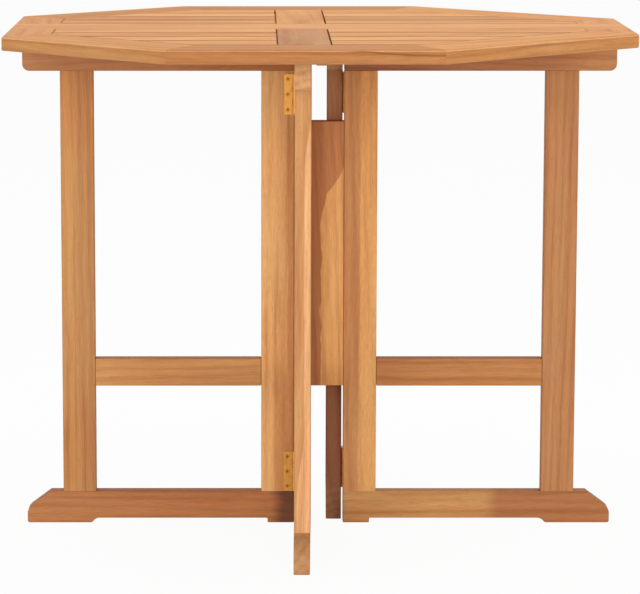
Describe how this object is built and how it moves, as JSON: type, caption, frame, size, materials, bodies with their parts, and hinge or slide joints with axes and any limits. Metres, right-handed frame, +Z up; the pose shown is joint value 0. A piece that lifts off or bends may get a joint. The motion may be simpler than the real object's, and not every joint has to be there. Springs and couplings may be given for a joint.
{
  "type": "folding garden table",
  "caption": "Octagonal slatted wooden garden table with drop leaves carried on hinged gates that swing out from a narrow fixed frame",
  "frame": {"origin": "floor level under the middle of the table", "axes": "+X along the fixed frame, -Y towards the front gate and leaf, +Z up"},
  "size_m": [0.9, 0.9, 0.742],
  "materials": {
    "frame_teak": "oiled satin",
    "top_teak": "oiled satin",
    "hinge_brass": "polished",
    "screw_brass": "satin"
  },
  "bodies": {
    "frame": {"centre_board": "top_teak", "centre_panel": "frame_teak", "frame_screws": "screw_brass", "gate_hinge_frame_plates": "hinge_brass", "gate_hinge_pins": "hinge_brass", "leaf_hinge_centre_plates": "hinge_brass", "leaf_hinge_pins": "hinge_brass", "left_foot_rail": "frame_teak", "left_inner_post": "frame_teak", "left_outer_post": "frame_teak", "left_stretcher": "frame_teak", "left_top_rail": "frame_teak", "right_foot_rail": "frame_teak", "right_inner_post": "frame_teak", "right_outer_post": "frame_teak", "right_stretcher": "frame_teak", "right_top_rail": "frame_teak"},
    "front_gate": {"front_gate_foot_rail": "frame_teak", "front_gate_hinge_plates": "hinge_brass", "front_gate_inner_post": "frame_teak", "front_gate_outer_post": "frame_teak", "front_gate_screws": "screw_brass", "front_gate_stretcher": "frame_teak", "front_gate_top_rail": "frame_teak"},
    "rear_gate": {"rear_gate_foot_rail": "frame_teak", "rear_gate_hinge_plates": "hinge_brass", "rear_gate_inner_post": "frame_teak", "rear_gate_outer_post": "frame_teak", "rear_gate_screws": "screw_brass", "rear_gate_stretcher": "frame_teak", "rear_gate_top_rail": "frame_teak"},
    "front_leaf": {"front_leaf_cross_board": "top_teak", "front_leaf_edge_board": "top_teak", "front_leaf_gate_stop": "top_teak", "front_leaf_hinge_plates": "hinge_brass", "front_leaf_left_corner_board": "top_teak", "front_leaf_left_end_board": "top_teak", "front_leaf_right_corner_board": "top_teak", "front_leaf_right_end_board": "top_teak", "front_leaf_screws": "screw_brass", "front_leaf_slats_1": "top_teak", "front_leaf_slats_2": "top_teak", "front_leaf_slats_3": "top_teak", "front_leaf_slats_4": "top_teak"},
    "rear_leaf": {"rear_leaf_cross_board": "top_teak", "rear_leaf_edge_board": "top_teak", "rear_leaf_gate_stop": "top_teak", "rear_leaf_hinge_plates": "hinge_brass", "rear_leaf_left_corner_board": "top_teak", "rear_leaf_left_end_board": "top_teak", "rear_leaf_right_corner_board": "top_teak", "rear_leaf_right_end_board": "top_teak", "rear_leaf_screws": "screw_brass", "rear_leaf_slats_1": "top_teak", "rear_leaf_slats_2": "top_teak", "rear_leaf_slats_3": "top_teak", "rear_leaf_slats_4": "top_teak"}
  },
  "joints": [
    {"name": "front_gate_swing", "type": "hinge", "parent": "frame", "child": "front_gate", "pos_m": [-0.037, -0.014, 0.36], "axis": [0, 0, 1], "range_deg": [-88.9, 1.1]},
    {"name": "rear_gate_swing", "type": "hinge", "parent": "frame", "child": "rear_gate", "pos_m": [0.037, 0.014, 0.36], "axis": [0, 0, 1], "range_deg": [-88.9, 1.1]},
    {"name": "front_leaf_lift", "type": "hinge", "parent": "frame", "child": "front_leaf", "pos_m": [0, -0.052, 0.7195], "axis": [-1, 0, 0], "range_deg": [0, 6]},
    {"name": "rear_leaf_lift", "type": "hinge", "parent": "frame", "child": "rear_leaf", "pos_m": [0, 0.052, 0.7195], "axis": [1, 0, 0], "range_deg": [0, 6]}
  ]
}
